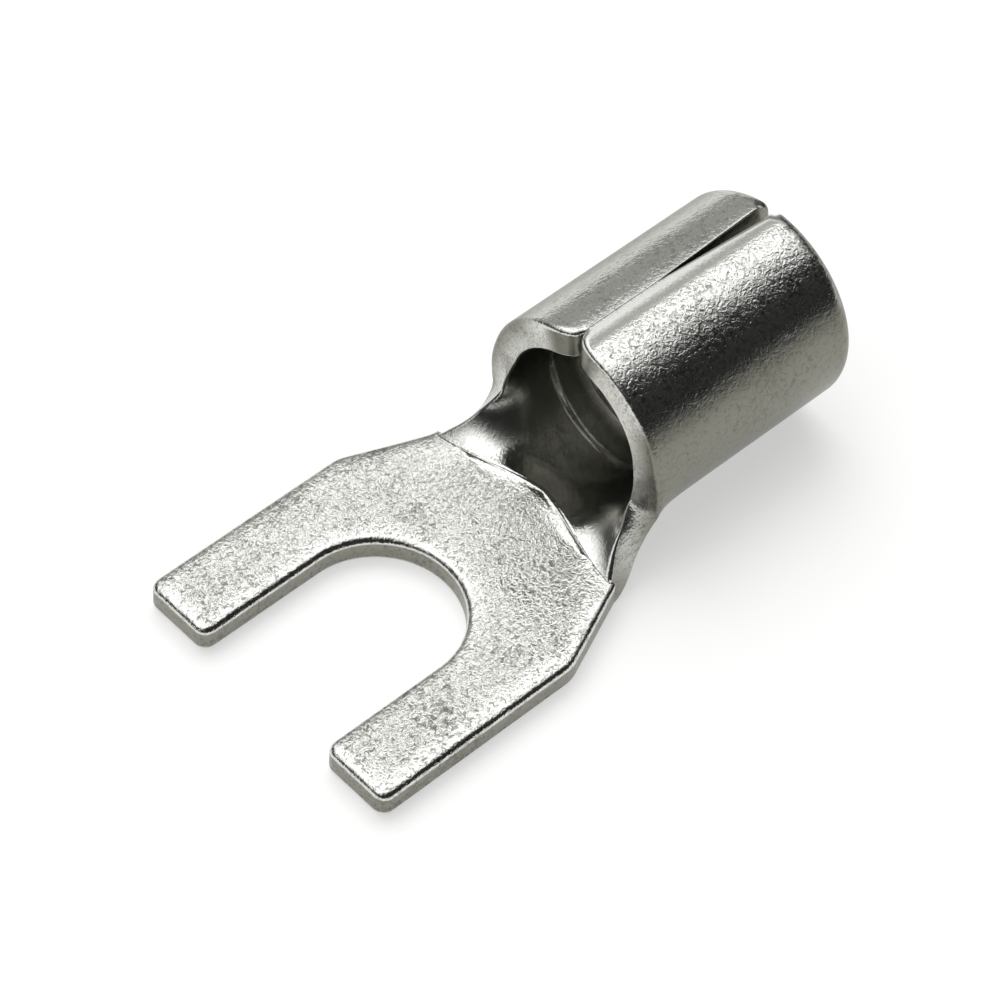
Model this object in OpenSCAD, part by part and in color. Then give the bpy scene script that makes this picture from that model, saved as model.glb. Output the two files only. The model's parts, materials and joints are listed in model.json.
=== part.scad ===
// Bare fork terminal: a forked tongue that goes under a screw, a trough-shaped neck and a rolled wire
// barrel, all in one piece of sheet. X runs from the stud to the wire, Z is up, and the origin is the
// stud's centre on the underside of the tongue. Millimetres.

/* [Sheet] */
// Thickness of the sheet, which is also the barrel's wall
sheet_t = 0.8; // [0.6:0.05:1]
// Radius left on the sheared edges after tumbling and plating
edge_r = 0.12; // [0.06:0.01:0.2]

/* [Tongue] */
// Width of the stud slot
slot_w = 4.2; // [3.7:0.1:4.8]
// Width over both prongs
tongue_w = 8.3; // [7.4:0.1:9.5]
// From the stud's centre to the tips of the prongs
prong_l = 3.6; // [2.5:0.05:5]
// Corner radius of the prongs in plan
tip_r = 0.3; // [0.15:0.05:0.5]
// From the stud's centre to the shoulders, where the sides start to draw in
shoulder_l = 2.4; // [2:0.05:3.2]
// Radius of the shoulders in plan
shoulder_r = 1; // [0.3:0.1:1.5]
// Length of the tapered sides, from the shoulders to the fold
taper_l = 2.35; // [1.8:0.05:3.5]

/* [Neck] */
// Width of the sheet where the fold starts
neck_w = 6.3; // [5.2:0.05:7]
// From the fold, at the sheet's edges, to the mouth of the barrel
neck_l = 1.35; // [1.1:0.05:2]
// How far the middle of the fold lies behind its ends
fold_bow = 0.6; // [0.2:0.05:0.9]
// Fillet in the blank between the tapered sides and the mouth of the barrel
neck_r = 0.56; // [0.4:0.02:0.7]

/* [Barrel] */
// Bore for the stripped wire
bore_d = 4.1; // [3.4:0.1:4.6]
// Length of the barrel
barrel_l = 6.8; // [5:0.1:9]
// Radius on the outer edge of the wire end
rear_r = 0.34; // [0.15:0.01:0.4]
// Width of the butt seam at the mouth
seam_mouth = 0.05; // [0.03:0.01:0.12]
// Width of the butt seam at the wire end, where it springs open
seam_rear = 0.26; // [0.15:0.01:0.4]
// Width of the shallow groove that the rounded lips of the seam leave outside
lip_w = 0.44; // [0.42:0.01:0.6]
// Depth of that groove
lip_depth = 0.16; // [0.08:0.01:0.25]
// Number of grip grooves pressed into the bore
grip_count = 3; // [1:1:4]
// Spacing of the grip grooves
grip_pitch = 0.95; // [0.7:0.05:1.2]
// From the mouth to the first grip groove
grip_start = 1.3; // [0.8:0.1:2]
// Width of a grip groove
grip_w = 0.36; // [0.2:0.02:0.5]
// Depth of a grip groove
grip_depth = 0.12; // [0.05:0.01:0.2]

/* [Hidden] */
$fn = 96;

// Room that cutters run past the faces they cut
over = 1;
// How far the end of the neck stays below the faces of the barrel's wall that it butts on
butt_step = 0.015;

slot_r = slot_w / 2;
half_tongue = tongue_w / 2;
half_neck = neck_w / 2;
half_t = sheet_t / 2;
bore_r = bore_d / 2;
mid_r = bore_r + half_t;
barrel_r = bore_r + sheet_t;
axis_z = barrel_r;
fold_x = shoulder_l + taper_l;
mouth_x = fold_x + neck_l;

// Angle at which the tapered sides draw in
taper_a = atan((half_tongue - half_neck) / taper_l);
// Half the blank's width where the fillet ends on the mouth, which it meets square
half_mouth = half_neck - neck_l * tan(taper_a) + neck_r * (1 + sin(taper_a)) / cos(taper_a);

// Facets: steps across half the sheet, round an edge, at the tip, round the shoulder, along the neck as
// far as its fillet, and round the fillet
side_steps = 18;
edge_steps = 3;
tip_steps = 4;
shoulder_steps = 4;
neck_steps = 8;
fillet_steps = 8;

function unit(v) = v / norm(v);
function mix(a, b, t) = a + (b - a) * t;
function degrees_of(arc, r) = arc / r * 180 / PI;

// Points of an arc about c, from angle a0 to a1, in n steps
function arc_points(c, r, a0, a1, n) =
    [for (i = [0 : n]) c + r * [cos(mix(a0, a1, i / n)), sin(mix(a0, a1, i / n))]];

// Closed outline of the sheet cut across, as [share of the flat half-width, reach past it, height].
// The reach and the height round the two edges. The upper half mirrors the lower one, point for point.
function section_loop() =
    let (
        edge_c = [0, edge_r - half_t],
        left = arc_points(edge_c, edge_r, 180, 270, edge_steps),
        right = arc_points(edge_c, edge_r, 270, 360, edge_steps),
        lower = concat(
            [for (p = left) [-1, p.x, p.y]],
            [for (i = [1 - side_steps : side_steps - 1]) [i / side_steps, 0, -half_t]],
            [for (p = right) [1, p.x, p.y]]
        )
    )
    concat(lower, [for (i = [len(lower) - 1 : -1 : 0]) [lower[i][0], lower[i][1], -lower[i][2]]]);

// Where the fold crosses the sheet
function fold_at(s) = fold_x + fold_bow * (1 - min(abs(s) / half_neck, 1));

// Middle of the sheet along the neck: s across, t from the fold (0) to the mouth (1). Cut across, it is
// an arc that tightens from flat to the barrel's round.
function neck_mid(s, t) =
    let (
        r = mid_r / (t * (0.6 + t * (1.2 - 0.8 * t))),
        a = degrees_of(s, r)
    )
    [mix(fold_at(s), mouth_x, t), r * sin(a), half_t + r * (1 - cos(a))];

function neck_normal(s, t) =
    let (d = 0.01)
    unit(cross(neck_mid(s, t + d) - neck_mid(s, t - d), neck_mid(s + d, t) - neck_mid(s - d, t)));

function barrel_normal(s) = [0, -sin(degrees_of(s, mid_r)), cos(degrees_of(s, mid_r))];

// Half-width of the blank at distance d behind the fold: it tapers on, and the fillet carries it out
fillet_d = neck_l - neck_r * (1 + sin(taper_a));
function neck_half(d) =
    d < fillet_d
        ? half_neck - d * tan(taper_a)
        : half_mouth - sqrt(neck_r * neck_r - pow(d - neck_l + neck_r, 2));

// Point of the loop on the sheet, s across and n through it
function across(p, half) = p[0] * (half - edge_r) + p[1];

// One ring of points for each station along the sheet
function flat_ring(loop, x, half, thin) =
    [for (p = loop) [x, across(p, half), half_t + p[2] * thin]];

// At the fold itself the two faces meet on the line that halves the angle between tongue and neck
function fold_ring(loop) =
    let (up = [0, 0, 1], just_past = 0.02)
    [for (p = loop)
        let (s = across(p, half_neck), lean = neck_normal(s, just_past))
        [fold_at(s), s, half_t] + p[2] * (up + lean) / (1 + up * lean)];

function neck_ring(loop, d) =
    let (t = d / neck_l)
    [for (p = loop) let (s = across(p, neck_half(d))) neck_mid(s, t) + p[2] * neck_normal(s, t)];

function butt_ring(loop) =
    [for (p = loop)
        let (s = across(p, half_mouth))
        neck_mid(s, 1) + p[2] * (1 - butt_step / half_t) * barrel_normal(s)];

// Rounding of the tips: in plan by tip_r, and over the top and bottom edges by edge_r
function tip_half(d) = half_tongue - tip_r + sqrt(tip_r * tip_r - pow(max(tip_r - d, 0), 2));
function tip_thin(d) =
    1 - (edge_r - sqrt(edge_r * edge_r - pow(max(edge_r - d, 0), 2))) / half_t;

// Two triangles of a four-cornered face
function quad(a, b, c, d) = [[a, b, c], [a, c, d]];

// Tongue and neck as one lofted sheet, before the slot is cut
module folded_sheet() {
    loop = section_loop();
    shoulder_c = [shoulder_l - shoulder_r * tan(taper_a / 2), half_tongue - shoulder_r];
    tip_rings = [for (i = [0 : tip_steps])
        let (d = tip_r * (1 - cos(90 * i / tip_steps)))
        flat_ring(loop, d - prong_l, tip_half(d), tip_thin(d))];
    rings = concat(
        tip_rings,
        [for (q = arc_points(shoulder_c, shoulder_r, 90, 90 - taper_a, shoulder_steps))
            flat_ring(loop, q.x, q.y, 1)],
        [fold_ring(loop)],
        [for (i = [1 : neck_steps]) neck_ring(loop, fillet_d * i / neck_steps)],
        [for (i = [1 : fillet_steps - 1])
            let (turn = mix(-taper_a, 90, i / fillet_steps))
            neck_ring(loop, neck_l - neck_r + neck_r * sin(turn))],
        [butt_ring(loop)]
    );
    n = len(loop);
    last = len(rings) - 1;
    polyhedron(
        points = [for (ring = rings) each ring],
        faces = concat(
            [for (j = [0 : n / 2 - 2]) each quad(j, j + 1, n - 2 - j, n - 1 - j)],
            [for (j = [0 : n / 2 - 2]) each quad(last * n + j, last * n + n - 1 - j,
                last * n + n - 2 - j, last * n + j + 1)],
            [for (i = [0 : last - 1], j = [0 : n - 1])
                let (k = (j + 1) % n)
                each quad(i * n + j, (i + 1) * n + j, (i + 1) * n + k, i * n + k)]
        )
    );
}

// Half of the slot cut across, with its rounded edges, as a profile about the stud's axis
function slot_profile() = concat(
    [[0, -over], [slot_r + edge_r, -over]],
    arc_points([slot_r + edge_r, edge_r], edge_r, 270, 180, edge_steps),
    arc_points([slot_r + edge_r, sheet_t - edge_r], edge_r, 180, 90, edge_steps),
    [[slot_r + edge_r, sheet_t + over], [0, sheet_t + over]]
);

module stud_slot() {
    rotate_extrude() polygon(slot_profile());
    for (side = [-1, 1])
        rotate([90, 0, -90])
            linear_extrude(prong_l + over)
                polygon([for (p = slot_profile()) [side * p.x, p.y]]);
    // Rounded inner corners of the two tips
    for (side = [-1, 1])
        translate([-prong_l, side * slot_r, -over])
            linear_extrude(sheet_t + 2 * over)
                polygon(concat(
                    [[-over, -side * over], [tip_r, -side * over]],
                    [for (q = arc_points([tip_r, tip_r], tip_r, 270, 180, tip_steps)) [q.x, side * q.y]],
                    [[-over, side * tip_r]]
                ));
}

// Wall of the barrel as [radius, distance from the mouth], with a rounded wire end and grip grooves
function barrel_profile() = concat(
    [[barrel_r, 0], [bore_r, 0]],
    [for (i = [0 : grip_count - 1])
        let (z = grip_start + i * grip_pitch)
        each [
            [bore_r, z],
            [bore_r + grip_depth, z + grip_w / 4],
            [bore_r + grip_depth, z + grip_w * 3 / 4],
            [bore_r, z + grip_w]
        ]],
    arc_points([bore_r + edge_r, barrel_l - edge_r], edge_r, 180, 90, edge_steps),
    arc_points([barrel_r - rear_r, barrel_l - rear_r], rear_r, 90, 0, edge_steps + 1)
);

module wire_barrel() {
    translate([mouth_x, 0, axis_z])
        rotate([0, 90, 0])
            rotate_extrude() polygon(barrel_profile());
}

// Open butt seam along the top of the barrel, with the groove between its rounded lips
module seam() {
    translate([mouth_x, 0, axis_z])
        linear_extrude(barrel_r + over)
            polygon([
                [-over, -seam_mouth / 2],
                [barrel_l, -seam_rear / 2],
                [barrel_l + over, -seam_rear / 2],
                [barrel_l + over, seam_rear / 2],
                [barrel_l, seam_rear / 2],
                [-over, seam_mouth / 2]
            ]);
    translate([mouth_x - over, 0, axis_z])
        rotate([90, 0, 90])
            linear_extrude(barrel_l + 2 * over)
                polygon([
                    [0, barrel_r - lip_depth],
                    [lip_w / 2, barrel_r],
                    [lip_w / 2, barrel_r + over],
                    [-lip_w / 2, barrel_r + over],
                    [-lip_w / 2, barrel_r]
                ]);
}

module fork_terminal() {
    color([0.66, 0.66, 0.64])
        difference() {
            union() {
                folded_sheet();
                wire_barrel();
            }
            stud_slot();
            seam();
        }
}

fork_terminal();
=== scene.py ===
import json
import math

import bpy
import numpy as np
from mathutils import Matrix, Vector


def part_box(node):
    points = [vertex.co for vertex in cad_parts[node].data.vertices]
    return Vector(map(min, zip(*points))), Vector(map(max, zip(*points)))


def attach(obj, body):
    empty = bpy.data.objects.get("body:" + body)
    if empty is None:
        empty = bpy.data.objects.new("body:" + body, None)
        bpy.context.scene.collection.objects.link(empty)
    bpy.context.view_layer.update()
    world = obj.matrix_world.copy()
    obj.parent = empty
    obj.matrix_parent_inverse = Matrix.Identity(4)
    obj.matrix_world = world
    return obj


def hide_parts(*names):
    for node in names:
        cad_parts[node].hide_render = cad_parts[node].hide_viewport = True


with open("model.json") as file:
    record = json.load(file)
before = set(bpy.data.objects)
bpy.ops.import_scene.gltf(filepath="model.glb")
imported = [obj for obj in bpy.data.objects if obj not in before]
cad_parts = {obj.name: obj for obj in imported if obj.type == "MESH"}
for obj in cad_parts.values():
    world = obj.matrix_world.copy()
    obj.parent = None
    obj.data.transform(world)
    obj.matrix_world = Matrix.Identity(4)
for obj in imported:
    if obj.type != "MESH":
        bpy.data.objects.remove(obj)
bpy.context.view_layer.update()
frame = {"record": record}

# Blank of the fork terminal: one flat piece sheared from copper sheet, with two prongs, tapered sides
# and a wide tab that is rolled into the wire barrel. It is laid out flat here, in millimetres, with x
# from the stud to the wire and s across the sheet, as a grid of four-cornered cells.
mounts = {mount["name"]: mount for mount in frame["record"]["mounts"]}
low, high = (np.array(corner) * 1000 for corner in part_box("fork_terminal"))
slot_r = mounts["stud_slot"]["dims"]["r_mm"]
bore_r = mounts["wire_bore"]["dims"]["r_mm"]
axis_z = mounts["wire_bore"]["pos_m"][2] * 1000
half_t = (axis_z - bore_r) / 2
mid_r = bore_r + half_t
tip_x, rear_x = low[0], high[0]
half_tongue = high[1]
barrel_l = 6.8
mouth_x = rear_x - barrel_l

tip_r = 0.33
shoulder_x, shoulder_r = 2.4, 1.0
fold_x, half_fold, fold_bow = 4.75, 3.15, 0.6
taper_a = math.atan((half_tongue - half_fold) / (fold_x - shoulder_x))
fillet_r = 0.56
fillet_x = mouth_x - fillet_r
half_mouth = (half_fold - (mouth_x - fold_x) * math.tan(taper_a)
              + fillet_r * (1 + math.sin(taper_a)) / math.cos(taper_a))
seam_mouth, seam_rear, seam_shut, seam_off = 0.001, 0.27, 0.42, 0.25
notch_w, notch_l, rear_corner = 0.75, 0.42, 0.16

# Distances from a sheared edge at which the grid has a line, close enough to carry its rounding
edge_rows = np.array([0.0, 0.004, 0.016, 0.035, 0.06, 0.09, 0.125, 0.17, 0.23])

# Numbers of grid lines along each stretch of the sheet, and of points on its two kinds of round corner
prong_lines, side_lines, fold_lines, neck_rows, wall_lines, barrel_lines = 44, 52, 36, 26, 42, 76
tongue_lines, shoulder_points, fillet_points = 28, 13, 14


def lines_between_edges(length, count):
    even = np.linspace(edge_rows[-1], length - edge_rows[-1], count + 2)[1:-1]
    return np.concatenate([edge_rows, even, (length - edge_rows)[::-1]])


def lines_from_edge(length, count):
    return np.concatenate([edge_rows, np.linspace(edge_rows[-1], length, count + 1)[1:]])


def round_corner(along, across, radius):
    """Draws the lines in a square corner in to a round one; both are distances from its two sides."""
    inside = (along < radius) & (across < radius)
    p = np.where(inside, 1 - along / radius, 0)
    q = np.where(inside, 1 - across / radius, 0)
    new_along = radius * (1 - p * np.sqrt(1 - q * q / 2))
    new_across = radius * (1 - q * np.sqrt(1 - p * p / 2))
    return np.where(inside, new_along, along), np.where(inside, new_across, across)


def smooth(low_end, high_end, value):
    t = np.clip((value - low_end) / (high_end - low_end), 0, 1)
    return t * t * (3 - 2 * t)


def fold_line(s):
    """Where the fold crosses the sheet: its middle lies further back than its ends."""
    return fold_x + fold_bow * np.clip(1 - np.abs(s) / half_fold, 0, 1)


def seam_opening(x):
    """From 0, shut along the front of the barrel, to 1, sprung open at the wire end."""
    return np.clip(((x - mouth_x) / barrel_l - seam_shut) / (1 - seam_shut), 0, 1)


def lip_at(x, side):
    """How far round the sheet the seam's lip lies on a side: the seam is a little off the top."""
    half_gap = (seam_mouth + (seam_rear - seam_mouth) * seam_opening(x)) / 2
    return math.pi * mid_r - half_gap - side * seam_off


def half_neck(x):
    """Half the blank's width along the neck: it tapers on, and the fillet carries it out to the mouth."""
    tangent = -fillet_r * math.sin(taper_a)
    off = np.clip(x - fillet_x, tangent, fillet_r)
    tapered = half_fold - (x - fold_x) * math.tan(taper_a)
    return np.where(x - fillet_x < tangent, tapered, half_mouth - np.sqrt(fillet_r ** 2 - off ** 2))


# The tongue's grid runs from one tip round the slot to the other, in lines from the slot's edge to the
# outer edge. Half of it is made, from the tip to the middle line, and mirrored.
prong_d = lines_from_edge(-tip_x, prong_lines)
straight_end = 0.6
inner = [np.column_stack([tip_x + prong_d, np.full_like(prong_d, slot_r)])]
outer = [np.column_stack([tip_x + prong_d * (1 - straight_end / tip_x),
                          np.full_like(prong_d, half_tongue)])]

shoulder_turn = np.radians(90) - np.linspace(0, taper_a, shoulder_points)
shoulder_c = np.array([shoulder_x - shoulder_r * math.tan(taper_a / 2), half_tongue - shoulder_r])
side = np.vstack([
    [[straight_end, half_tongue]],
    shoulder_c + shoulder_r * np.column_stack([np.cos(shoulder_turn), np.sin(shoulder_turn)]),
    [[fold_x, half_fold]],
])
side_length = np.concatenate([[0], np.cumsum(np.linalg.norm(np.diff(side, axis=0), axis=1))])
side_share = np.linspace(0, 1, side_lines + 1)[1:]
side_end = math.radians(35)
side_turn = math.radians(90) + (side_end - math.radians(90)) * side_share
inner.append(slot_r * np.column_stack([np.cos(side_turn), np.sin(side_turn)]))
outer.append(np.column_stack([
    np.interp(side_share * side_length[-1], side_length, side[:, axis]) for axis in (0, 1)
]))

fold_d = lines_from_edge(half_fold, fold_lines)[1:]
fold_turn = side_end * (1 - fold_d / half_fold)
inner.append(slot_r * np.column_stack([np.cos(fold_turn), np.sin(fold_turn)]))
outer.append(np.column_stack([fold_line(half_fold - fold_d), half_fold - fold_d]))

inner, outer = np.vstack(inner), np.vstack(outer)
mirror = np.array([1, -1])
inner = np.vstack([inner, (inner * mirror)[-2::-1]])
outer = np.vstack([outer, (outer * mirror)[-2::-1]])
length = np.linalg.norm(outer - inner, axis=1)
share = np.array([lines_between_edges(span, tongue_lines) / span for span in length])
tongue = inner[:, None] + (outer - inner)[:, None] * share[:, :, None]
from_tip = tongue[:, :, 0] - tip_x
for wall, outward in ((slot_r, 1), (half_tongue, -1)):
    from_wall = outward * (np.abs(tongue[:, :, 1]) - wall)
    from_tip, from_wall = round_corner(from_tip, from_wall, tip_r)
    tongue[:, :, 1] = np.sign(tongue[:, :, 1]) * (wall + outward * from_wall)
tongue[:, :, 0] = tip_x + from_tip

# The neck's grid carries the lines that end on the fold back to the foot of the mouth's fillet.
fold_share = np.concatenate([[1], 1 - fold_d / half_fold])
fold_share = np.concatenate([fold_share, -fold_share[-2::-1]])
foot_turn = math.radians(45)
foot_x = fillet_x + fillet_r * math.sin(foot_turn)
row_crowding = 1.3
row_share = np.linspace(0, 1, neck_rows + 1)[1:, None] ** row_crowding
neck_start = fold_line(fold_share * half_fold)
neck_x = neck_start + (foot_x - neck_start) * row_share
neck = np.stack([neck_x, fold_share * half_neck(neck_x)], axis=2)

# The barrel's grid runs from one lip of the seam round the bottom to the other, and from the mouth, or
# the end of the neck, to the wire end.
wall_w = math.pi * mid_r - half_mouth
wall_share = 1 - lines_from_edge(wall_w, wall_lines) / wall_w
fillet_turn = np.linspace(math.pi / 2, foot_turn, fillet_points)[1:-1]
corner_x = fillet_x + fillet_r * np.sin(fillet_turn)
corner_s = half_neck(corner_x)
foot_s = fold_share * half_neck(foot_x)
front_x = np.concatenate([np.full_like(wall_share, mouth_x), corner_x, np.full_like(foot_s, foot_x),
                          corner_x[::-1], np.full_like(wall_share, mouth_x)])
along = lines_between_edges(barrel_l, barrel_lines)[:, None] / barrel_l
barrel_x = front_x + (rear_x - front_x) * along
left_s, right_s = (half_mouth + wall_share * (lip_at(barrel_x[:, :len(wall_share)], side) - half_mouth)
                   for side in (1, -1))
middle_s = np.concatenate([corner_s, foot_s, -corner_s[::-1]])
barrel_s = np.hstack([left_s, np.tile(middle_s, (len(along), 1)), -right_s[:, ::-1]])
barrel_side = np.sign(barrel_s)
from_lip = lip_at(barrel_x, barrel_side) - np.abs(barrel_s)
notch_k = notch_w / notch_l
from_mouth, from_lip = round_corner((barrel_x - mouth_x) * notch_k, from_lip, notch_w)
from_rear, from_lip = round_corner(barrel_l - from_mouth / notch_k, from_lip, rear_corner)
beside_seam = np.abs(barrel_s) > half_mouth
barrel_x = np.where(beside_seam, rear_x - from_rear, barrel_x)
barrel_s = np.where(beside_seam, barrel_side * (lip_at(barrel_x, barrel_side) - from_lip), barrel_s)
barrel = np.stack([barrel_x, barrel_s], axis=2)

# The three grids share the points on the fold and at the foot of the fillet.
tongue_id = np.arange(tongue.shape[0] * tongue.shape[1]).reshape(tongue.shape[:2])
first_fold = (len(tongue) - len(fold_share)) // 2
neck_id = np.empty((neck_rows + 1, len(fold_share)), int)
neck_id[0] = tongue_id[first_fold:first_fold + len(fold_share), -1]
neck_id[1:] = tongue_id.size + np.arange(neck[:, :, 0].size).reshape(neck.shape[:2])
first_foot = len(wall_share) + len(corner_s)
first_barrel = tongue_id.size + neck[:, :, 0].size
barrel_id = first_barrel + np.arange(barrel[:, :, 0].size).reshape(barrel.shape[:2])
barrel_id[0, first_foot:first_foot + len(foot_s)] = neck_id[-1]


def cells(ids):
    return np.stack([ids[:-1, :-1], ids[1:, :-1], ids[1:, 1:], ids[:-1, 1:]], axis=2).reshape(-1, 4)


quads = np.vstack([cells(tongue_id), cells(neck_id)[:, ::-1], cells(barrel_id)[:, ::-1]])
points = np.vstack([tongue.reshape(-1, 2), neck.reshape(-1, 2), barrel.reshape(-1, 2)])
used, quads = np.unique(quads, return_inverse=True)
quads = quads.reshape(-1, 4)
blank_x, blank_s = points[used].T

# Sheared edges: shearing and tumbling round them, more on the wire end and on the seam's outer lips,
# and the die draws the tongue's upper edges down slightly, over a width of about half a millimetre.
edges = np.vstack([quads[:, [i, (i + 1) % 4]] for i in range(4)])
key = edges.min(axis=1) * len(blank_x) + edges.max(axis=1)
_, first, shared = np.unique(key, return_index=True, return_counts=True)
rim = edges[first[shared == 1]]
rim_x = blank_x[rim].mean(axis=1)
rim_s = np.abs(blank_s[rim]).mean(axis=1)
on_rear = rim_x > rear_x - rear_corner
on_seam = (rim_s > half_mouth) & (rim_x > mouth_x + notch_l) & ~on_rear
on_mouth = (rim_x > foot_x) & ~on_rear & ~on_seam
on_tongue = ~(on_rear | on_seam | on_mouth)


def distance_to(rim_part):
    """Distance of each grid point from the nearest of these rim edges, over the flat blank."""
    a = np.column_stack([blank_x[rim_part[:, 0]], blank_s[rim_part[:, 0]]])
    b = np.column_stack([blank_x[rim_part[:, 1]], blank_s[rim_part[:, 1]]])
    run = b - a
    run_sq = (run ** 2).sum(axis=1)
    nearest = np.empty(len(blank_x))
    batch = 2000
    for start in range(0, len(blank_x), batch):
        part = slice(start, start + batch)
        off = np.column_stack([blank_x[part], blank_s[part]])[:, None] - a
        t = np.clip((off * run).sum(axis=2) / run_sq, 0, 1)
        nearest[part] = np.sqrt(((off - t[:, :, None] * run) ** 2).sum(axis=2).min(axis=1))
    return nearest


def rounding(distance, radius):
    return radius - np.sqrt(radius ** 2 - np.clip(radius - distance, 0, radius) ** 2)


die_roll_w, die_roll_depth, die_roll_fade = 0.6, 0.08, 0.3
tongue_upper_r, tongue_lower_r, mouth_upper_r, mouth_lower_r = 0.14, 0.15, 0.05, 0.14
towards_mouth = smooth(fold_x, foot_x, blank_x)
side_upper_r = tongue_upper_r + (mouth_upper_r - tongue_upper_r) * towards_mouth
side_lower_r = tongue_lower_r + (mouth_lower_r - tongue_lower_r) * towards_mouth
shut_lip_r, left_lip_r, right_lip_r, bore_lip_r = 0.008, 0.06, 0.18, 0.08
rear_bore_r, rear_outer_r = 0.12, 0.42
open_lip_r = np.where(blank_s > 0, left_lip_r, right_lip_r)
lip_r = shut_lip_r + (open_lip_r - shut_lip_r) * seam_opening(blank_x)
on_side = on_tongue | on_mouth
upper_drop = np.zeros(len(blank_x))
lower_drop = np.zeros(len(blank_x))
edge_distance = np.full(len(blank_x), np.inf)
for part, upper_r, lower_r in ((on_side, side_upper_r, side_lower_r), (on_seam, bore_lip_r, lip_r),
                               (on_rear, rear_bore_r, rear_outer_r)):
    distance = distance_to(rim[part])
    upper_drop = np.maximum(upper_drop, rounding(distance, upper_r))
    lower_drop = np.maximum(lower_drop, rounding(distance, lower_r))
    if part is not on_seam:
        edge_distance = np.minimum(edge_distance, distance)
    if part is on_side:
        die_roll = die_roll_depth * np.clip(1 - distance / die_roll_w, 0, 1) ** 2
        upper_drop += die_roll * (1 - smooth(fold_x - die_roll_fade, fold_x + die_roll_fade, blank_x))

# The barrel has its seam beside its highest line, so its outside is dressed down to the height of the box.
over_box = axis_z + bore_r + 2 * half_t - high[2]
lower_drop += over_box * smooth(fold_x, mouth_x, blank_x)

# Grip grooves pressed into the bore before the tab is rolled, to bite on the wire: each has a sharp step
# towards the mouth and runs out towards the wire.
grips, grip_start, grip_pitch, grip_step, grip_w, grip_depth = 3, 1.3, 0.95, 0.06, 0.7, 0.09
for index in range(grips):
    past_step = blank_x - (mouth_x + grip_start + index * grip_pitch)
    upper_drop += grip_depth * smooth(0, grip_step, past_step) * (1 - smooth(grip_step, grip_w, past_step))

# Coining marks: the die that flattens the tongue leaves a gentle ramp up to the fold, a low step along it
# and a fine line behind that.
past_fold = blank_x - fold_line(blank_s)
ramp_l, ramp_rise, ramp_s, side_fall = 2.2, 0.17, 1.8, 0.6
coin_step, coin_w, line_depth, line_w, coined_l = 0.022, 0.09, 0.014, 0.03, 0.3
coined = 1 - smooth(fold_x + coined_l, mouth_x, blank_x)
ramp = np.clip(1 + past_fold / ramp_l, 0, 1) ** 2
ramp *= 1 - side_fall * smooth(ramp_s, half_fold, np.abs(blank_s))
upper_drop -= ramp_rise * ramp * coined
upper_drop -= coin_step * smooth(-coin_w, 0, past_fold) * coined
upper_drop += line_depth * np.exp(-((past_fold - line_w) / line_w) ** 2) * coined

# Rolled form: behind the tongue the sheet bends up into a trough, and the trough closes to a tube whose
# edges butt in a seam on top. The trough is still a little wider than the tube where it enters it.
roll_x, roll_l, roll_power = fold_x, 1.04, 1.8
closing_s, closed_s, closing_l = 2.4, 4.4, 0.4


def rolled(x, s):
    """Middle of the sheet after rolling: across the sheet it is an arc that tightens from flat to round."""
    roll = 1 - np.exp(-(np.clip(x - roll_x, 0, None) / roll_l) ** roll_power)
    closed = smooth(closing_s, closed_s, np.abs(s)) * smooth(mouth_x - closing_l, mouth_x, x)
    roll = np.where(np.abs(s) > closed_s, 1, roll + (1 - roll) * closed)
    turn = s / mid_r * roll
    return np.column_stack([
        x,
        s * np.sinc(turn / np.pi),
        half_t + s * np.sin(turn / 2) * np.sinc(turn / 2 / np.pi),
    ])


middle = rolled(blank_x, blank_s)
step = 0.01
normal = np.cross(rolled(blank_x + step, blank_s) - rolled(blank_x - step, blank_s),
                  rolled(blank_x, blank_s + step) - rolled(blank_x, blank_s - step))
normal /= np.linalg.norm(normal, axis=1)[:, None]
upper = middle + normal * (half_t - upper_drop)[:, None]
lower = middle - normal * (half_t - lower_drop)[:, None]

count = len(blank_x)
walls = np.column_stack([rim[:, 1], rim[:, 0], rim[:, 0] + count, rim[:, 1] + count])
faces = np.vstack([quads, quads[:, ::-1] + count, walls])
mesh = bpy.data.meshes.new("fork_terminal_sheet")
mesh.from_pydata((np.vstack([upper, lower]) / 1000).tolist(), [], faces.tolist())
mesh.shade_smooth()
terminal = bpy.data.objects.new("fork_terminal_sheet", mesh)
bpy.context.scene.collection.objects.link(terminal)
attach(terminal, "root")
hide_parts("fork_terminal")


def srgb(code):
    """Linear colour of an sRGB hex value."""
    channels = [int(code[i:i + 2], 16) / 255 for i in (1, 3, 5)]
    return [c / 12.92 if c <= 0.04045 else ((c + 0.055) / 1.055) ** 2.4 for c in channels] + [1]


def add_node(tree, kind, inputs=(), **settings):
    """Adds a node; an input is either linked to a socket or given a value."""
    node = tree.nodes.new(kind)
    for name, value in settings.items():
        setattr(node, name, value)
    for name, value in dict(inputs).items():
        if isinstance(value, bpy.types.NodeSocket):
            tree.links.new(value, node.inputs[name])
        else:
            node.inputs[name].default_value = value
    return node


def new_material(name):
    material = bpy.data.materials.new(name)
    material.use_nodes = True
    material.node_tree.nodes.clear()
    return material, material.node_tree


# Tin plated on copper and tumbled: a soft silver grey that is a little warm, with a fine crinkle that
# breaks reflections into bright and dark flecks. Edges, the neck, the flanks and a line beside the seam
# are rubbed smoother. The plate is thin and dull in the bore and on sheared walls, and there, as well as
# low on the barrel's flanks, round its wire end and on the sides of the neck's trough, its colour is
# painted darker as painted shade and made rougher.
off_seam = math.pi * mid_r + seam_off + blank_s
from_seam = np.minimum(np.abs(off_seam), np.abs(off_seam - 2 * math.pi * mid_r))
past_mouth = blank_x - mouth_x
inward_z = normal[:, 2]
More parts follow.
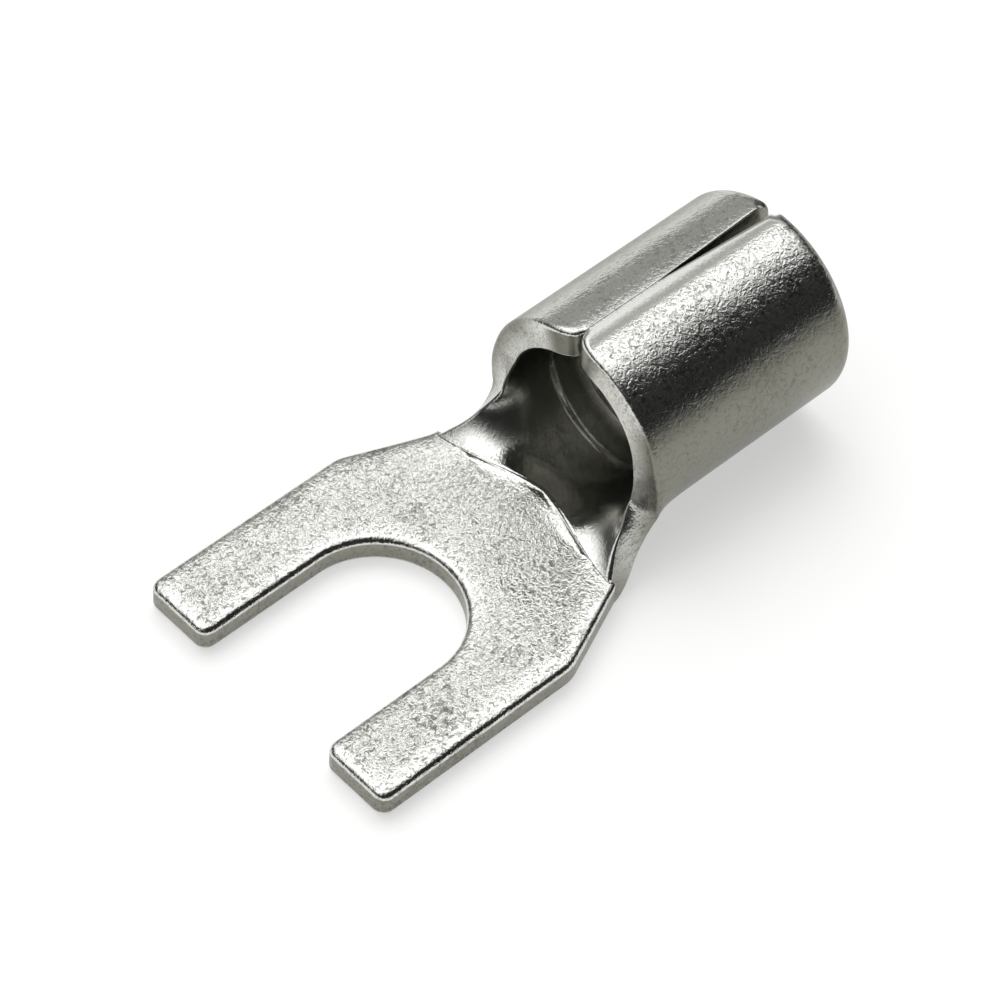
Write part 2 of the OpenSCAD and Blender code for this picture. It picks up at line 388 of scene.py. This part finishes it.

# How dull the plate is, with the painted shade that darkens it, from 0 to 1; each pair of numbers is the
# stretch over which a patch comes or goes
flank_painted_shade, wall_dull_and_shade, notch_dull_and_shade, bore_dull_and_shade, neck_painted_shade = 1, 0.95, 1, 0.62, 0.6
left_flank_top, right_flank_top, flank_fade = -0.92, -0.75, 0.28
wire_end_fade, bore_fade, notch_fade = (0.1, 0.5), (0.1, 2.2), (0.5, 1.1)
neck_side_fade, neck_back_fade, neck_edge_fade = (1.2, 2), (-0.65, -0.3), (0, 0.25)
# Painted shade: low on the barrel's flanks, where its outside faces down towards the table, and round its
# wire end, the colour is painted darker in place of a darker reflection.
flank_top = np.where(blank_s > 0, left_flank_top, right_flank_top)
low_flank_painted_shade = smooth(flank_top, flank_top + flank_fade, inward_z) * smooth(fold_x, mouth_x, blank_x)
wire_end_painted_shade = 1 - smooth(*wire_end_fade, rear_x - blank_x)
# Painted shade: the sides of the neck's trough are painted darker inside, over a bright reflection.
neck_side = (smooth(*neck_side_fade, np.abs(blank_s)) * smooth(*neck_back_fade, past_mouth)
             * smooth(*neck_edge_fade, edge_distance))
# In the bore the plate is thin and dull, and it is also painted darker as painted shade in the tube.
upper_dull_and_shade = np.maximum(bore_dull_and_shade * smooth(*bore_fade, past_mouth), neck_painted_shade * neck_side)
lower_dull_and_shade = flank_painted_shade * np.maximum(low_flank_painted_shade, wire_end_painted_shade)
# Sheared walls, the notch's walls and the wire end's walls are duller, and are also painted darker as
# painted shade where they reflect the shadowed table at their foot.
rim_dull_and_shade = np.where(blank_x > foot_x, notch_dull_and_shade * (1 - smooth(*notch_fade, from_seam)),
                    wall_dull_and_shade * (1 - towards_mouth))
rim_dull_and_shade = np.where(blank_x > rear_x - rear_corner, wall_dull_and_shade, rim_dull_and_shade)
upper_dull_and_shade[rim] = np.maximum(upper_dull_and_shade, rim_dull_and_shade)[rim]
lower_dull_and_shade[rim] = np.maximum(lower_dull_and_shade, rim_dull_and_shade)[rim]

# How far tumbling has rubbed the crinkle off, from 0 to 1
neck_rub, ramp_rub, edge_rub, left_rub, flank_rub = 0.8, 0.5, 0.35, 0.55, 0.6
rub_line, rub_w, rub_fade, left_fade = 0.27, 0.25, (0.7, 1.3), (mid_r, 1.5 * mid_r)
edge_fade, ramp_fade, neck_fade, flank_rub_fade = (0.06, 0.24), (-ramp_l, -0.8), (0, 0.4), (-0.86, -0.64)
rubbed_edge = edge_rub * (1 - smooth(*edge_fade, edge_distance))
rubbed_neck = (ramp_rub * smooth(*ramp_fade, past_fold)
               + (neck_rub - ramp_rub) * smooth(*neck_fade, past_fold))
upper_rubbed = np.maximum(rubbed_edge, rubbed_neck)
rubbed_seam = 1 - smooth(*rub_fade, np.abs(off_seam - rub_line) / rub_w)
rubbed_left = left_rub * smooth(*left_fade, blank_s)
rubbed_flank = flank_rub * smooth(*flank_rub_fade, inward_z) * (blank_s < 0)
rubbed_barrel = np.maximum(np.maximum(rubbed_seam, rubbed_left), rubbed_flank)
lower_rubbed = np.maximum(rubbed_edge, np.where(past_mouth > 0, rubbed_barrel, 0))

levels = {"dull_and_shade": (upper_dull_and_shade, lower_dull_and_shade), "rubbed": (upper_rubbed, lower_rubbed)}
for name, both_faces in levels.items():
    level = mesh.attributes.new(name, "FLOAT", "POINT")
    level.data.foreach_set("value", np.concatenate(both_faces))

crinkle_mm, fleck_mm, wave_mm, relief_mm = 0.26, 0.12, 1.8, 0.018
crinkle_share, wave_share, wave_tint, rubbed_relief = 0.25, 2.5, 0.4, 0.12
tin, tree = new_material("tin_plate_tumbled")
place = add_node(tree, "ShaderNodeTexCoord").outputs["Object"]
dull_and_shade = add_node(tree, "ShaderNodeAttribute", attribute_name="dull_and_shade").outputs["Fac"]
rubbed = add_node(tree, "ShaderNodeAttribute", attribute_name="rubbed").outputs["Fac"]
crinkle = add_node(tree, "ShaderNodeTexNoise", {"Vector": place, "Scale": 1000 / crinkle_mm, "Detail": 1.5,
                                                "Distortion": 0.6}, noise_type="RIDGED_MULTIFRACTAL")
fleck = add_node(tree, "ShaderNodeTexNoise", {"Vector": place, "Scale": 1000 / fleck_mm, "Detail": 1,
                                              "Distortion": 1.2})
wave = add_node(tree, "ShaderNodeTexNoise", {"Vector": place, "Scale": 1000 / wave_mm, "Detail": 2})
height = add_node(tree, "ShaderNodeMath", {0: crinkle.outputs["Fac"], 1: crinkle_share,
                                           2: fleck.outputs["Fac"]}, operation="MULTIPLY_ADD")
height = add_node(tree, "ShaderNodeMath", {0: wave.outputs["Fac"], 1: wave_share, 2: height.outputs[0]},
                  operation="MULTIPLY_ADD")
crisp = add_node(tree, "ShaderNodeMapRange", {"Value": rubbed, "To Min": 1, "To Max": rubbed_relief})
relief = add_node(tree, "ShaderNodeBump", {"Height": height.outputs[0], "Strength": crisp.outputs["Result"],
                                           "Distance": relief_mm / 1000})
rough = add_node(tree, "ShaderNodeMapRange", {"Value": dull_and_shade, "To Min": 0.16, "To Max": 0.32})
grain = add_node(tree, "ShaderNodeMath", {0: wave.outputs["Fac"], 1: wave_tint, 2: fleck.outputs["Fac"]},
                 operation="MULTIPLY_ADD")
grain = add_node(tree, "ShaderNodeMapRange", {"Value": grain.outputs[0], "From Min": 0.48,
                                              "From Max": 0.72})
colour = add_node(tree, "ShaderNodeMix", {0: grain.outputs["Result"], 6: srgb("#8a8984"),
                                          7: srgb("#e0e0dc")}, data_type="RGBA")
colour = add_node(tree, "ShaderNodeMix", {0: rubbed, 6: colour.outputs[2], 7: srgb("#d0d0cc")},
                  data_type="RGBA")
# This level multiplies the colour down towards a dark warm grey: dull plate in part and painted shade in
# part.
colour = add_node(tree, "ShaderNodeMix", {0: dull_and_shade, 6: colour.outputs[2], 7: srgb("#9f9e95")},
                  data_type="RGBA", blend_type="MULTIPLY")
shader = add_node(tree, "ShaderNodeBsdfPrincipled", {
    "Base Color": colour.outputs[2], "Metallic": 1, "Roughness": rough.outputs["Result"],
    "Normal": relief.outputs["Normal"]})
add_node(tree, "ShaderNodeOutputMaterial", {"Surface": shader.outputs["BSDF"]})
mesh.materials.append(tin)

# Table: a plain white sheet that the terminal lies on. To the eye and in reflections it is lifted to
# white, and it keeps the terminal's soft shadow.
table_w, table_z, paper_lift = 1.2, -2e-5, 0.54
table_mesh = bpy.data.meshes.new("table")
corners = ((-1, -1), (1, -1), (1, 1), (-1, 1))
table_mesh.from_pydata([(x * table_w / 2, y * table_w / 2, table_z) for x, y in corners], [],
                       [(0, 1, 2, 3)])
table = bpy.data.objects.new("table", table_mesh)
bpy.context.scene.collection.objects.link(table)


def seen_rays(tree):
    """1 for rays from the eye, in reflections and through glass, 0 for those that carry light."""
    path = add_node(tree, "ShaderNodeLightPath")
    seen = add_node(tree, "ShaderNodeMath", {0: path.outputs["Is Camera Ray"],
                                             1: path.outputs["Is Glossy Ray"]}, operation="MAXIMUM")
    return add_node(tree, "ShaderNodeMath", {0: seen.outputs[0], 1: path.outputs["Is Transmission Ray"]},
                    operation="MAXIMUM").outputs[0]


paper, tree = new_material("white_paper_matt")
lift = add_node(tree, "ShaderNodeMath", {0: seen_rays(tree), 1: paper_lift}, operation="MULTIPLY")
matt = add_node(tree, "ShaderNodeBsdfDiffuse", {"Color": srgb("#b2b2b1")})
glow = add_node(tree, "ShaderNodeEmission", {"Strength": lift.outputs[0]})
both = add_node(tree, "ShaderNodeAddShader", {0: matt.outputs[0], 1: glow.outputs[0]})
add_node(tree, "ShaderNodeOutputMaterial", {"Surface": both.outputs[0]})
table_mesh.materials.append(paper)

# Studio: a light tent whose ceiling is bright on the far side and falls off to the dark side where the
# camera stands, over dark walls, and one soft lamp above and behind the terminal. Two cards that are
# seen in reflections alone give its metal grey bands.
scene = bpy.context.scene
scene.view_settings.view_transform = "Standard"
world = bpy.data.worlds.new("light_tent")
world.use_nodes = True
tree = world.node_tree
tree.nodes.clear()
ceiling_light, dark_wall, light_wall = 2.35, 0.04, 0.12
wall_top, ceiling_edge = math.sin(math.radians(24)), math.sin(math.radians(60))
dark_side, light_side = -0.5, 0.2
direction = add_node(tree, "ShaderNodeTexCoord").outputs["Generated"]
parts = add_node(tree, "ShaderNodeSeparateXYZ", {"Vector": direction})
rise = add_node(tree, "ShaderNodeMapRange", {"Value": parts.outputs["Z"], "From Min": wall_top,
                                             "From Max": ceiling_edge})
across = add_node(tree, "ShaderNodeMapRange", {"Value": parts.outputs["Y"], "From Min": dark_side,
                                               "From Max": light_side}, interpolation_type="SMOOTHSTEP")
wall = add_node(tree, "ShaderNodeMapRange", {"Value": across.outputs["Result"], "To Min": dark_wall,
                                             "To Max": light_wall})
ceiling = add_node(tree, "ShaderNodeMath", {0: rise.outputs["Result"], 1: across.outputs["Result"]},
                   operation="MULTIPLY")
light = add_node(tree, "ShaderNodeMath", {0: ceiling.outputs[0], 1: ceiling_light,
                                          2: wall.outputs["Result"]}, operation="MULTIPLY_ADD")
tent = add_node(tree, "ShaderNodeBackground", {"Strength": light.outputs[0]})
add_node(tree, "ShaderNodeOutputWorld", {"Surface": tent.outputs[0]})
scene.world = world


def facing(place, target):
    """Matrix at a place whose -Z axis looks at a target."""
    turn = (Vector(target) - Vector(place)).to_track_quat("-Z", "Y")
    return Matrix.Translation(place) @ turn.to_matrix().to_4x4()


middle_of_part, lamp_place = (0.0045, 0, 0.0015), (0.06, 0.12, 0.22)
lamp_data = bpy.data.lights.new("soft_lamp", "AREA")
lamp_data.shape = "DISK"
lamp_data.size = 0.24
lamp_data.energy = 0.36
lamp = bpy.data.objects.new("soft_lamp", lamp_data)
lamp.matrix_world = facing(lamp_place, middle_of_part)
lamp.visible_glossy = False
scene.collection.objects.link(lamp)


def card(name, place, target, width, height, light):
    """A glowing card that lights nothing and is seen only in the metal."""
    card_mesh = bpy.data.meshes.new(name)
    card_mesh.from_pydata([(x * width / 2, y * height / 2, 0) for x, y in corners], [], [(0, 1, 2, 3)])
    piece = bpy.data.objects.new(name, card_mesh)
    piece.matrix_world = facing(place, target)
    scene.collection.objects.link(piece)
    card_paint, tree = new_material(name + "_card")
    tone = add_node(tree, "ShaderNodeEmission", {"Color": srgb("#fcfcf8"), "Strength": light})
    add_node(tree, "ShaderNodeOutputMaterial", {"Surface": tone.outputs[0]})
    card_mesh.materials.append(card_paint)
    piece.visible_camera = False
    piece.visible_diffuse = False
    piece.visible_shadow = False


card("grey_back", place=(0.09, 0.17, 0.075), target=(0.0045, 0, 0.075),
     width=0.26, height=0.15, light=0.4)
card("grey_strip", place=(0.09, 0.071, 0.1585), target=(0.09, 0.071, 0),
     width=0.14, height=0.036, light=0.48)

# Camera: above the prongs and to the front, as the photograph was taken.
camera_turn, camera_rise, camera_roll = (math.radians(a) for a in (-47.17, 50.88, 5.21))
camera_target = Vector((0.004022, 0.000102, 0.001497))
camera_distance = 0.1055
back = Vector((math.sin(camera_turn) * math.cos(camera_rise),
               -math.cos(camera_turn) * math.cos(camera_rise), math.sin(camera_rise)))
right = (-back).cross(Vector((0, 0, 1))).normalized()
up = right.cross(-back)
rolled_right = right * math.cos(camera_roll) + up * math.sin(camera_roll)
rolled_up = up * math.cos(camera_roll) - right * math.sin(camera_roll)
camera_data = bpy.data.cameras.new("camera")
camera_data.sensor_width = 36
camera_data.lens = 158.7
camera_data.clip_start = 0.001
camera = bpy.data.objects.new("camera", camera_data)
axes = Matrix((rolled_right, rolled_up, back)).transposed().to_4x4()
camera.matrix_world = Matrix.Translation(camera_target + back * camera_distance) @ axes
scene.collection.objects.link(camera)
scene.camera = camera
